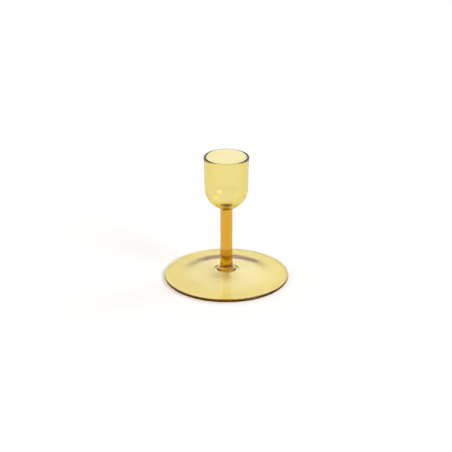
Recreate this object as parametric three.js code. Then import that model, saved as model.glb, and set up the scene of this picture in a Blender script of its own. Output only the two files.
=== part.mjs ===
// Glass candlestick: a blown candle cup on a solid glass rod, standing on a thin raised disc.
// The five pieces of glass are fused to one another at two weld beads, and nothing on it moves.
// Millimetres, +Z up. The origin is on the table, under the middle of the foot.
import * as THREE from 'three';

// Driving dimensions
const height = 78.5;
const fusedGap = 0.3; // left between neighbours, where the real glass has run together

const footRadius = 38;
const footMiddleHeight = 5.2; // of the foot's upper face
const footEdgeThickness = 2; // of the rounded bead round the edge
const footThickness = 1.75; // between the hollow and the bead
const hollowRadius = 24.5; // inside this circle the glass is thinner from below
const hollowDepth = 0.57;
const hollowBlend = 6; // half the width of the change
const pontilRadius = 7.5; // a shallow dimple in the middle, where the glass was held while it was worked
const pontilDepth = 0.25;
const pontilBlend = 1.3;
const groundRingInner = 36.5; // the flat ring that touches the table
const groundRingOuter = 37;
const beadRise = 0.15; // how far the bead stands above the glass inside it
const beadBlend = 1.4; // width over which the glass thickens into the bead

const stemRadius = 3.75;

const cupRadius = 13.15; // outside, where the round bottom meets the wall
const cupWall = 1.7;
const cupBottom = 45;
const cupSwell = 0.4; // how much wider the wall is at the top
const lipOuterRadius = 13.75;
const lipRound = 0.85;
const lipFlareHeight = 2.2;

const footWeldRadius = 6;
const footWeldHeight = 3;
const footWeldLipWidth = 1; // the rounded lower part of the bead
const footWeldLipHeight = 1.1;
const cupWeldFillet = 3; // radius of the fillet between the rod and the round bottom

// Fineness of the faceting
const sides = 48;
const footTopSteps = 14;
const footUndersideSteps = 24;
const beadSteps = 3;
const hemisphereSteps = 10;
const wallSteps = 5;
const roundSteps = 6;
const weldSteps = 5;

// Worked out from the driving dimensions
const cupCentre = cupBottom + cupRadius; // height of the round bottom's centre
const lipCentre = new THREE.Vector2(lipOuterRadius - lipRound, height - lipRound);
const wallTop = height - lipRound - lipFlareHeight;
const footWeldTop = footMiddleHeight + fusedGap + footWeldHeight;
const filletCentre = new THREE.Vector2(
  stemRadius + cupWeldFillet,
  cupCentre - Math.sqrt((cupRadius + cupWeldFillet) ** 2 - (stemRadius + cupWeldFillet) ** 2),
);

// Points on an ellipse in the (radius, height) plane, from one angle to another, in degrees
function ellipse(centreX, centreY, across, up, from, to, steps) {
  return Array.from({ length: steps + 1 }, (_, i) => {
    const angle = THREE.MathUtils.degToRad(from + ((to - from) * i) / steps);
    return new THREE.Vector2(centreX + across * Math.cos(angle), centreY + up * Math.sin(angle));
  });
}

const arc = (centreX, centreY, radius, from, to, steps) => ellipse(centreX, centreY, radius, radius, from, to, steps);

// Points (radius, height) along a curve whose height is a function of its radius
function heightCurve(heightAt, from, to, steps) {
  return Array.from({ length: steps + 1 }, (_, i) => {
    const radius = from + ((to - from) * i) / steps;
    return new THREE.Vector2(radius, heightAt(radius));
  });
}

// Turns a profile of (radius, height) points round the Z axis
function turned(name, profile, material) {
  const geometry = new THREE.LatheGeometry(profile, sides);
  geometry.rotateX(Math.PI / 2);
  const mesh = new THREE.Mesh(geometry, material);
  mesh.name = name;
  return mesh;
}

// The foot's upper face is a low bell, level at the middle and at the edge, where the bead stands a little proud
function footTop(radius) {
  const edgeHeight = footEdgeThickness - beadRise;
  const bell = (1 + Math.cos((Math.PI * radius) / groundRingOuter)) / 2;
  const bead = THREE.MathUtils.smoothstep(radius, groundRingOuter - beadBlend, groundRingOuter);
  return edgeHeight + (footMiddleHeight - edgeHeight) * bell + beadRise * bead;
}

// How far a round hollow of the given depth cuts in at a radius, fading out round its edge
function hollow(radius, depth, edge, blend) {
  return depth * (1 - THREE.MathUtils.smoothstep(radius, edge - blend, edge + blend));
}

// The lower face follows the upper one. Two hollows thin the glass from below, and it thickens at the edge,
// down to the ground ring.
function footUnderside(radius) {
  const cutIn =
    hollow(radius, hollowDepth, hollowRadius, hollowBlend) + hollow(radius, pontilDepth, pontilRadius, pontilBlend);
  const thickening = THREE.MathUtils.smoothstep(radius, groundRingInner - beadBlend, groundRingInner);
  return (footTop(radius) - footThickness + cutIn) * (1 - thickening);
}

function makeFoot(material) {
  const halfThickness = footEdgeThickness / 2;
  const edgeWidth = footRadius - groundRingOuter;
  const profile = [
    ...heightCurve(footUnderside, 0, groundRingInner - beadBlend, footUndersideSteps),
    ...heightCurve(footUnderside, groundRingInner - beadBlend, groundRingInner, beadSteps).slice(1),
    ...ellipse(groundRingOuter, halfThickness, edgeWidth, halfThickness, -90, 90, roundSteps),
    ...heightCurve(footTop, groundRingOuter, groundRingOuter - beadBlend, beadSteps).slice(1),
    ...heightCurve(footTop, groundRingOuter - beadBlend, 0, footTopSteps).slice(1),
  ];
  return turned('foot', profile, material);
}

// A bead of glass between the foot and the rod, rounded below and hollow on its flank
function makeFootWeld(material) {
  const sitsOnFoot = (radius) => footTop(radius) + fusedGap;
  const low = sitsOnFoot(footWeldRadius);
  const lipInside = footWeldRadius - footWeldLipWidth;
  const lip = ellipse(lipInside, low, footWeldLipWidth, footWeldLipHeight, 0, 90, weldSteps);
  const flankHeight = footWeldTop - low - footWeldLipHeight;
  const flank = ellipse(lipInside, footWeldTop, lipInside - stemRadius, flankHeight, -90, -180, weldSteps);
  const profile = [
    ...heightCurve(sitsOnFoot, 0, footWeldRadius, 2),
    ...lip.slice(1),
    ...flank.slice(1),
    new THREE.Vector2(0, footWeldTop),
  ];
  return turned('foot_weld', profile, material);
}

function makeStem(material) {
  const low = footWeldTop + fusedGap;
  const high = filletCentre.y - fusedGap;
  const geometry = new THREE.CylinderGeometry(stemRadius, stemRadius, high - low, sides);
  geometry.rotateX(Math.PI / 2);
  const mesh = new THREE.Mesh(geometry, material);
  mesh.name = 'stem';
  mesh.position.z = (low + high) / 2;
  return mesh;
}

// A bead of glass between the rod and the cup, cradling the round bottom
function makeCupWeld(material) {
  const cradleRadius = cupRadius + fusedGap;
  const cradle = (radius) => cupCentre - Math.sqrt(cradleRadius ** 2 - radius ** 2);
  const centreDistance = cupRadius + cupWeldFillet;
  const towardsCup = THREE.MathUtils.radToDeg(Math.atan2(cupCentre - filletCentre.y, -filletCentre.x));
  const meetsCradle = THREE.MathUtils.radToDeg(
    Math.acos((cupWeldFillet ** 2 + centreDistance ** 2 - cradleRadius ** 2) / (2 * cupWeldFillet * centreDistance)),
  );
  const flank = arc(filletCentre.x, filletCentre.y, cupWeldFillet, 180, towardsCup + meetsCradle, weldSteps);
  const profile = [
    new THREE.Vector2(0, filletCentre.y),
    ...flank,
    ...heightCurve(cradle, flank.at(-1).x, 0, weldSteps).slice(1),
  ];
  return turned('cup_weld', profile, material);
}

// The cup's wall swells gently from the round bottom to just under the lip
function wallCurve(insetFromOutside, steps) {
  return Array.from({ length: steps + 1 }, (_, i) => {
    const swell = cupSwell * Math.sin((Math.PI / 2) * (i / steps));
    return new THREE.Vector2(cupRadius + swell - insetFromOutside, THREE.MathUtils.lerp(cupCentre, wallTop, i / steps));
  });
}

function makeCup(material) {
  const profile = [
    ...arc(0, cupCentre, cupRadius, -90, 0, hemisphereSteps),
    ...wallCurve(0, wallSteps).slice(1),
    ...arc(lipCentre.x, lipCentre.y, lipRound, 0, 180, roundSteps),
    ...wallCurve(cupWall, wallSteps).reverse(),
    ...arc(0, cupCentre, cupRadius - cupWall, 0, -90, hemisphereSteps).slice(1),
  ];
  return turned('candle_cup', profile, material);
}

// Yellow where the glass is thin, amber where it is a solid rod
const thinGlass = new THREE.MeshStandardMaterial({ color: 0xead68c, roughness: 0.04, metalness: 0 });
const rodGlass = new THREE.MeshStandardMaterial({ color: 0xd9a63a, roughness: 0.04, metalness: 0 });

const group = new THREE.Group();
group.add(
  makeFoot(thinGlass.clone()),
  makeFootWeld(rodGlass.clone()),
  makeStem(rodGlass.clone()),
  makeCupWeld(rodGlass.clone()),
  makeCup(thinGlass.clone()),
);

export default group;
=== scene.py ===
"""Looks of the glass candlestick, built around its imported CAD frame.

Five pieces of clear amber glass, turned about the Z axis, stand for the five CAD solids. They meet
face to face at four fused joints, where the glass runs on without a surface between.
"""

import math

import bpy
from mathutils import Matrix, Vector, noise


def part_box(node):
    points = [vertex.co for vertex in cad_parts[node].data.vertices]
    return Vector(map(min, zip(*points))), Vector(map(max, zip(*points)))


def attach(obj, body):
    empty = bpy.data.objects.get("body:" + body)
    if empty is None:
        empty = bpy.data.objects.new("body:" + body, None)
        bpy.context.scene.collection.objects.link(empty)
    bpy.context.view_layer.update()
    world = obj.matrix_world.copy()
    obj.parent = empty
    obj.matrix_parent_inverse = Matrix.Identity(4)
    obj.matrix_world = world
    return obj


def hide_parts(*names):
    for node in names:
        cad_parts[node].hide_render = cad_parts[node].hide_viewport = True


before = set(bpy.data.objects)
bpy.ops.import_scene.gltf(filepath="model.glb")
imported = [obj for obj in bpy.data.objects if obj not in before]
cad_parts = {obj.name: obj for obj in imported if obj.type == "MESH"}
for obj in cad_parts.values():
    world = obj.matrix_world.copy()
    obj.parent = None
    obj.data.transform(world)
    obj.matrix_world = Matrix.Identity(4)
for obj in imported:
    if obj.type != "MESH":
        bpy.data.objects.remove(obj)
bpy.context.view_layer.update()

MM = 0.001


def extent(node):
    """Lowest corner and highest corner of a CAD node, in millimetres."""
    low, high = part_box(node)
    return low / MM, high / MM


# ---------------------------------------------------------------- sizes, in millimetres
foot_high = extent("foot")[1]
foot_weld_high = extent("foot_weld")[1]
stem_low, stem_high = extent("stem")
cup_weld_low = extent("cup_weld")[0]
cup_low, cup_high = extent("candle_cup")

FOOT_RADIUS = foot_high.x
FOOT_MIDDLE = foot_high.z  # height of the foot's upper face at its middle
FOOT_EDGE = 2.0  # thickness of the rounded edge
FOOT_GLASS = 1.75  # thickness between the hollow and the edge
HOLLOW = dict(depth=0.57, edge=24.5, blend=6.0)  # thins the glass from below
PONTIL = dict(depth=0.25, edge=7.5, blend=1.3)  # where the glass was held while it was worked
GROUND_RING = 37.0  # radius of the circle that touches the table
BEAD_UP = 0.15  # how far the edge stands above the glass inside it
BEAD_BLEND = 1.4  # width over which the glass thickens into the edge

STEM_RADIUS = stem_high.x
WELD_RADIUS = foot_weld_high.x
WELD_LIP = 1.0, 1.1  # round of the weld's outer edge, across and up
STEM_FOOT = (foot_weld_high.z + stem_low.z) / 2  # where the rod meets the foot's weld
STEM_HEAD = (stem_high.z + cup_weld_low.z) / 2  # where it meets the cup's

CUP_RADIUS = 13.15  # outside, where the round bottom meets the wall
CUP_WALL = 1.7
CUP_CENTRE = cup_low.z + CUP_RADIUS  # height of the round bottom's centre
CUP_SWELL = 0.4  # how much wider the wall is at the top
CUP_FILLET = 3.0  # between the rod and the round bottom
LIP_ROUND = 0.85  # radius of the rounded lip
LIP_RADIUS = cup_high.x - LIP_ROUND
LIP_HEIGHT = cup_high.z - LIP_ROUND
LIP_FLARE = 2.2  # height over which the wall turns out to the lip

JOINT_GAP = 0.01  # between two faces of one fused joint
FLOOR_DROP = 0.05  # lets light in under the ground ring

# How far the glass strays from a true turned shape, in slow waves and in quick ones
SLOW_WAVE = 10.0
SLOW_STRAY = 0.08
QUICK_WAVE = 2.2
QUICK_STRAY = 0.06
SWIRL_TOP = 9, 14  # the hottest glass, where the rod was pressed on, swirls most
SWIRL_SIDE = 6.2, 7.0
STRAY_START = 0, 2  # heights over which it sets in, so that the foot still sits flat
noise.seed_set(3)  # the offset of noise_vector is random otherwise

# Fineness of the meshes, in steps
SIDES = 256
FOOT_UNDERSIDE_STEPS = 170
FOOT_TOP_STEPS = 160
FOOT_EDGE_STEPS = 32
WELD_LIP_STEPS = 14
WELD_FLANK_STEPS = 24
STEM_STEPS = 80
CUP_FILLET_STEPS = 20
CUP_BOTTOM_STEPS = 60
CUP_WALL_STEPS = 24
LIP_STEPS = 24
LIP_BLEND_STEPS = 12
JOINT_STEPS = 12


# ---------------------------------------------------------------- outlines
def smoothstep(value, low, high):
    t = min(max((value - low) / (high - low), 0.0), 1.0)
    return t * t * (3 - 2 * t)


def arc(centre, radii, start, end, steps):
    """Points on an ellipse, from one angle to another, in degrees."""
    angles = (math.radians(start + (end - start) * i / steps) for i in range(steps + 1))
    return [(centre[0] + radii[0] * math.cos(a), centre[1] + radii[1] * math.sin(a)) for a in angles]


def curve(height_at, start, end, steps):
    """Points along a surface whose height is a function of its radius."""
    radii = (start + (end - start) * i / steps for i in range(steps + 1))
    return [(r, height_at(r)) for r in radii]


def foot_top(r):
    sheet = FOOT_EDGE - BEAD_UP
    bead = BEAD_UP * smoothstep(r, GROUND_RING - BEAD_BLEND, GROUND_RING)
    return sheet + (FOOT_MIDDLE - sheet) * (1 + math.cos(math.pi * r / GROUND_RING)) / 2 + bead


def hollow(r, depth, edge, blend):
    return depth * (1 - smoothstep(r, edge - blend, edge + blend))


def foot_underside(r):
    thin = foot_top(r) - FOOT_GLASS + hollow(r, **HOLLOW) + hollow(r, **PONTIL)
    at_ring = foot_top(GROUND_RING) - FOOT_GLASS
    return thin - at_ring * smoothstep(r, GROUND_RING - BEAD_BLEND, GROUND_RING)


def cup_underside(r):
    return CUP_CENTRE - math.sqrt(CUP_RADIUS**2 - r**2)


def cup_wall(inset, steps):
    """Points up the wall, from the round bottom to where the lip begins."""
    top = LIP_HEIGHT - LIP_FLARE
    return [
        (
            CUP_RADIUS + CUP_SWELL * math.sin(math.pi / 2 * i / steps) - inset,
            CUP_CENTRE + (top - CUP_CENTRE) * i / steps,
        )
        for i in range(steps + 1)
    ]


def lip_blend(start, end, steps):
    """Eases from the wall into the lip, so that the glass shows no crease there."""
    return [
        (
            start[0] + (end[0] - start[0]) * smoothstep(i / steps, 0, 1),
            start[1] + (end[1] - start[1]) * i / steps,
        )
        for i in range(steps + 1)
    ]


# ---------------------------------------------------------------- meshes
def turned(name, runs, material):
    """Turns runs of (radius, height) points about Z. A run is (points, fused), and each starts where the
    last one ended. Faces of a fused run are flagged, and its rim is kept sharp."""
    profile, fused, sharp = [runs[0][0][0]], [], []
    for points, is_fused in runs:
        if is_fused or (fused and fused[-1]):
            sharp.append(len(profile) - 1)
        profile += points[1:]
        fused += [is_fused] * (len(points) - 1)

    turn = [(math.cos(a), math.sin(a)) for a in (2 * math.pi * i / SIDES for i in range(SIDES))]
    rings, co = [], []
    for r, z in profile:
        if r < 1e-6:  # on the axis, one point stands for the whole ring
            rings.append([len(co)] * SIDES)
            co.append(Vector((0, 0, z)))
        else:
            rings.append(list(range(len(co), len(co) + SIDES)))
            co += [Vector((r * c, r * s, z)) for c, s in turn]
    faces, flags = [], []
    for k, is_fused in enumerate(fused):
        low, high = rings[k], rings[k + 1]
        for i in range(SIDES):
            j = (i + 1) % SIDES
            corners = dict.fromkeys((low[i], low[j], high[j], high[i]))
            faces.append(tuple(corners))
            flags.append(float(is_fused))

    mesh = bpy.data.meshes.new(name)
    mesh.from_pydata([(p + waver(p)) * MM for p in co], [], faces)
    mesh.polygons.foreach_set("use_smooth", [True] * len(faces))
    mesh.attributes.new("fused", "FLOAT", "FACE").data.foreach_set("value", flags)
    rims = {v for k in sharp for v in rings[k]}
    for edge in mesh.edges:
        a, b = edge.vertices
        edge.use_edge_sharp = a in rims and b in rims
    mesh.update()
    piece = bpy.data.objects.new(name, mesh)
    bpy.context.scene.collection.objects.link(piece)
    piece.data.materials.append(material)
    return piece


def waver(point):
    """How far hand-worked glass strays from a true turned shape. It settles to nothing at the table."""
    radius = math.hypot(point.x, point.y)
    swirl = (1 - smoothstep(point.z, *SWIRL_TOP)) * (1 - smoothstep(radius, *SWIRL_SIDE))
    slow = noise.noise_vector(point / SLOW_WAVE)
    quick = noise.noise_vector(point / QUICK_WAVE)
    return (slow * SLOW_STRAY + quick * (QUICK_STRAY * swirl)) * smoothstep(point.z, *STRAY_START)


# ---------------------------------------------------------------- materials
# Absorbed per millimetre, in red, green and blue. The rod and the two welds are of a deeper amber.
FOOT_AMBER = (0.050, 0.093, 0.395)
CUP_AMBER = (0.054, 0.098, 0.41)
ROD_AMBER = (0.052, 0.135, 0.78)
GLASS_IOR = 1.47
FUSED_IOR = 1.0  # light isn't bent at a fused joint

RIPPLE_SCALE = 260.0
RIPPLE_HEIGHT = 0.02  # millimetres
FOOT_STRETCH = 1  # how much longer the ripples are along Z than across
ROD_STRETCH = 6
CUP_STRETCH = 0.4
SMEAR_SCALE = 110.0
SMEARED = 0.45, 0.75  # from clean to smeared, in the smears' noise
SMEAR_ROUGHNESS = 0.01, 0.07


def map_range(tree, value, start, end):
    """Maps a value from one range to another, and holds it at the ends."""
    node = tree.nodes.new("ShaderNodeMapRange")
    node.inputs["From Min"].default_value, node.inputs["From Max"].default_value = start
    node.inputs["To Min"].default_value, node.inputs["To Max"].default_value = end
    tree.links.new(value, node.inputs["Value"])
    return node


def amber_glass(name, amber, stretch):
    """Clear glass coloured all through, so that thick glass is deeper in colour than thin glass. Its
    surface has faint ripples, drawn out along Z by the stretch, and faint smears."""
    material = bpy.data.materials.new(name)
    material.use_nodes = True
    tree = material.node_tree
    nodes, links = tree.nodes, tree.links
    nodes.clear()
    output = nodes.new("ShaderNodeOutputMaterial")
    glass = nodes.new("ShaderNodeBsdfPrincipled")
    glass.inputs["Base Color"].default_value = (1, 1, 1, 1)
    glass.inputs["Transmission Weight"].default_value = 1.0
    glass.inputs["IOR"].default_value = GLASS_IOR
    links.new(glass.outputs["BSDF"], output.inputs["Surface"])

    place = nodes.new("ShaderNodeTexCoord")
    drawn = nodes.new("ShaderNodeMapping")
    drawn.inputs["Scale"].default_value = (1, 1, 1 / stretch)
    links.new(place.outputs["Object"], drawn.inputs["Vector"])
    ripple = nodes.new("ShaderNodeTexNoise")
    ripple.inputs["Scale"].default_value = RIPPLE_SCALE
    ripple.inputs["Detail"].default_value = 2.0
    links.new(drawn.outputs["Vector"], ripple.inputs["Vector"])
    bump = nodes.new("ShaderNodeBump")
    bump.inputs["Distance"].default_value = RIPPLE_HEIGHT * MM
    links.new(ripple.outputs["Fac"], bump.inputs["Height"])
    links.new(bump.outputs["Normal"], glass.inputs["Normal"])

    smear = nodes.new("ShaderNodeTexNoise")
    smear.inputs["Scale"].default_value = SMEAR_SCALE
    smear.inputs["Detail"].default_value = 5.0
    smear.inputs["Roughness"].default_value = 0.6
    links.new(place.outputs["Object"], smear.inputs["Vector"])
    rough = map_range(tree, smear.outputs["Fac"], SMEARED, SMEAR_ROUGHNESS)
    links.new(rough.outputs["Result"], glass.inputs["Roughness"])

    fused = nodes.new("ShaderNodeAttribute")
    fused.attribute_name = "fused"
    bend = map_range(tree, fused.outputs["Fac"], (0, 1), (GLASS_IOR, FUSED_IOR))
    links.new(bend.outputs["Result"], glass.inputs["IOR"])

    # The node absorbs density x (1 - colour). The margin keeps the colour above black
    tint = nodes.new("ShaderNodeVolumeAbsorption")
    density = max(amber) * 1.05
    tint.inputs["Color"].default_value = (*[1 - part / density for part in amber], 1)
    tint.inputs["Density"].default_value = density / MM
    links.new(tint.outputs["Volume"], output.inputs["Volume"])
    return material


# ---------------------------------------------------------------- pieces
def make_foot():
    across = FOOT_RADIUS - GROUND_RING
    edge = arc((GROUND_RING, FOOT_EDGE / 2), (across, FOOT_EDGE / 2), -90, 90, FOOT_EDGE_STEPS)
    runs = [
        (curve(foot_underside, 0, GROUND_RING, FOOT_UNDERSIDE_STEPS), False),
        (edge, False),
        (curve(foot_top, GROUND_RING, WELD_RADIUS, FOOT_TOP_STEPS), False),
        (curve(foot_top, WELD_RADIUS, 0, JOINT_STEPS), True),
    ]
    return turned("foot_glass", runs, amber_glass("foot_glass", FOOT_AMBER, FOOT_STRETCH))


def make_foot_weld():
    def seat(r):
        return foot_top(r) + JOINT_GAP

    low = seat(WELD_RADIUS)
    lip_radius = WELD_RADIUS - WELD_LIP[0]
    lip = arc((lip_radius, low), WELD_LIP, 0, 90, WELD_LIP_STEPS)
    across = lip_radius - STEM_RADIUS
    up = STEM_FOOT - JOINT_GAP - (low + WELD_LIP[1])
    flank = arc((lip_radius, STEM_FOOT - JOINT_GAP), (across, up), 270, 180, WELD_FLANK_STEPS)
    runs = [
        (curve(seat, 0, WELD_RADIUS, JOINT_STEPS), True),
        (lip + flank[1:], False),
        ([flank[-1], (0, flank[-1][1])], True),
    ]
    return turned("foot_weld_glass", runs, amber_glass("foot_weld_glass", ROD_AMBER, ROD_STRETCH))


def make_stem():
    length = STEM_HEAD - STEM_FOOT
    side = [(STEM_RADIUS, STEM_FOOT + length * i / STEM_STEPS) for i in range(STEM_STEPS + 1)]
    runs = [
        ([(0, side[0][1]), side[0]], True),
        (side, False),
        ([side[-1], (0, side[-1][1])], True),
    ]
    return turned("stem_glass", runs, amber_glass("stem_glass", ROD_AMBER, ROD_STRETCH))


def fillet_centre():
    """Radius and height of the centre of the fillet under the cup."""
    across = STEM_RADIUS + CUP_FILLET
    return across, CUP_CENTRE - math.sqrt((CUP_RADIUS + CUP_FILLET) ** 2 - across**2)


def make_cup_weld():
    def seat(r):
        return cup_underside(r) - JOINT_GAP

    centre = fillet_centre()
    towards_cup = math.degrees(math.atan2(CUP_CENTRE - centre[1], -centre[0]))
    flank = arc(centre, (CUP_FILLET, CUP_FILLET), 180, towards_cup, CUP_FILLET_STEPS)
    start = STEM_HEAD + JOINT_GAP
    runs = [
        ([(0, start), (STEM_RADIUS, start)], True),
        ([(STEM_RADIUS, start)] + flank[:-1] + [(flank[-1][0], seat(flank[-1][0]))], False),
        (curve(seat, flank[-1][0], 0, JOINT_STEPS), True),
    ]
    return turned("cup_weld_glass", runs, amber_glass("cup_weld_glass", ROD_AMBER, ROD_STRETCH))


def make_cup():
    weld_edge = fillet_centre()[0] * CUP_RADIUS / (CUP_RADIUS + CUP_FILLET)
    joint_angle = -90 + math.degrees(math.asin(weld_edge / CUP_RADIUS))
    centre = (0, CUP_CENTRE)
    inner = CUP_RADIUS - CUP_WALL
    outside, inside = cup_wall(0, CUP_WALL_STEPS), cup_wall(CUP_WALL, CUP_WALL_STEPS)
    lip = arc((LIP_RADIUS, LIP_HEIGHT), (LIP_ROUND, LIP_ROUND), 0, 180, LIP_STEPS)
    free_glass = (
        arc(centre, (CUP_RADIUS, CUP_RADIUS), joint_angle, 0, CUP_BOTTOM_STEPS)
        + outside[1:]
        + lip_blend(outside[-1], lip[0], LIP_BLEND_STEPS)[1:]
        + lip[1:]
        + lip_blend(lip[-1], inside[-1], LIP_BLEND_STEPS)[1:]
        + inside[-2::-1]
        + arc(centre, (inner, inner), 0, -90, CUP_BOTTOM_STEPS)[1:]
    )
    runs = [
        (arc(centre, (CUP_RADIUS, CUP_RADIUS), -90, joint_angle, JOINT_STEPS), True),
        (free_glass, False),
    ]
    return turned("candle_cup_glass", runs, amber_glass("candle_cup_glass", CUP_AMBER, CUP_STRETCH))


PIECES = {
    "foot": (make_foot, "thin_glass"),
    "foot_weld": (make_foot_weld, "rod_glass"),
    "stem": (make_stem, "rod_glass"),
    "cup_weld": (make_cup_weld, "rod_glass"),
    "candle_cup": (make_cup, "thin_glass"),
}
for node, (make, slot) in PIECES.items():
    piece = make()
    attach(piece, "root")
    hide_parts(node)


# ---------------------------------------------------------------- floor, light and camera
FLOOR_HALF = 10.0  # metres
FLOOR_SHADE = 0.98

BRIGHT_SIDE = (0.0, 0.85, 0.52)  # towards the middle of the bright backdrop and ceiling
SIDE_FADE = (-0.35, 0.35)
BACKDROP = (0.98, 0.98, 0.98)
DIM_ROOM = (0.17, 0.105, 0.075)
SOFTBOXES = [  # towards the lamp, its half width and that with its soft edge in degrees, its strength
    ((0.72, -0.58, 0.62), 8, 15, 7.0),
    ((0.62, 0.35, 0.60), 8, 14, 4.0),
    ((0.30, 0.78, 0.50), 8, 20, 0.35),
]

CAMERA_ELEVATION = 23.3  # degrees
CAMERA_DISTANCE = 1.05  # metres
CAMERA_AIM = 0.03335  # height of the point that it looks at, in metres
CAMERA_SENSOR = 36
CAMERA_LENS = 138.0
CAMERA_SHIFT = -0.0009

GLASS_BOUNCES = 48
FLOOR_BOUNCES = 8


def pale_surface(name, shade):
    material = bpy.data.materials.new(name)
    material.use_nodes = True
    principled = material.node_tree.nodes["Principled BSDF"]
    principled.inputs["Base Color"].default_value = (shade, shade, shade, 1)
    principled.inputs["Roughness"].default_value = 0.9
    principled.inputs["Specular IOR Level"].default_value = 0.0
    return material


def make_floor():
    mesh = bpy.data.meshes.new("floor")
    corners = [(-1, -1), (1, -1), (1, 1), (-1, 1)]
    points = [(x * FLOOR_HALF, y * FLOOR_HALF, -FLOOR_DROP * MM) for x, y in corners]
    mesh.from_pydata(points, [], [(0, 1, 2, 3)])
    floor = bpy.data.objects.new("floor", mesh)
    floor.data.materials.append(pale_surface("floor", FLOOR_SHADE))
    bpy.context.scene.collection.objects.link(floor)


def make_studio():
    """A bright backdrop and ceiling, a dim room on the camera's side, and softboxes."""
    world = bpy.data.worlds.new("studio")
    bpy.context.scene.world = world
    world.use_nodes = True
    nodes, links = world.node_tree.nodes, world.node_tree.links
    direction = nodes.new("ShaderNodeTexCoord")

    def glow(towards, fade, strengths):
        """Light that changes from one strength to another as a direction nears the given one."""
        facing = nodes.new("ShaderNodeVectorMath")
        facing.operation = "DOT_PRODUCT"
        facing.inputs[1].default_value = Vector(towards).normalized()
        links.new(direction.outputs["Generated"], facing.inputs[0])
        eased = map_range(world.node_tree, facing.outputs["Value"], fade, strengths)
        eased.interpolation_type = "SMOOTHSTEP"
        return eased.outputs["Result"]

    room = nodes.new("ShaderNodeMix")
    room.data_type = "RGBA"
    links.new(glow(BRIGHT_SIDE, SIDE_FADE, (0, 1)), room.inputs["Factor"])
    dim, bright = (socket for socket in room.inputs if socket.type == "RGBA")
    dim.default_value = (*DIM_ROOM, 1)
    bright.default_value = (*BACKDROP, 1)
    light = next(socket for socket in room.outputs if socket.type == "RGBA")
    for towards, inner, outer, strength in SOFTBOXES:
        total = nodes.new("ShaderNodeVectorMath")
        links.new(light, total.inputs[0])
        edges = math.cos(math.radians(outer)), math.cos(math.radians(inner))
        links.new(glow(towards, edges, (0, strength)), total.inputs[1])
        light = total.outputs["Vector"]
    links.new(light, nodes["Background"].inputs["Color"])


def make_camera():
    elevation = math.radians(CAMERA_ELEVATION)
    aim = Vector((0, 0, CAMERA_AIM))
    back = Vector((0, -math.cos(elevation), math.sin(elevation)))
    camera = bpy.data.objects.new("camera", bpy.data.cameras.new("camera"))
    camera.location = aim + back * CAMERA_DISTANCE
    camera.rotation_mode = "QUATERNION"
    camera.rotation_quaternion = (-back).to_track_quat("-Z", "Y")
    camera.data.sensor_width = CAMERA_SENSOR
    camera.data.lens = CAMERA_LENS
    camera.data.shift_x = CAMERA_SHIFT
    bpy.context.scene.collection.objects.link(camera)
    bpy.context.scene.camera = camera


make_floor()
make_studio()
make_camera()

scene = bpy.context.scene
scene.view_settings.view_transform = "Standard"
scene.view_settings.exposure = 0.0
# Light crosses the glass many times before it leaves, and stays sharp on the way
scene.cycles.max_bounces = GLASS_BOUNCES
scene.cycles.transmission_bounces = GLASS_BOUNCES
scene.cycles.glossy_bounces = GLASS_BOUNCES
scene.cycles.diffuse_bounces = FLOOR_BOUNCES
scene.cycles.blur_glossy = 0.0
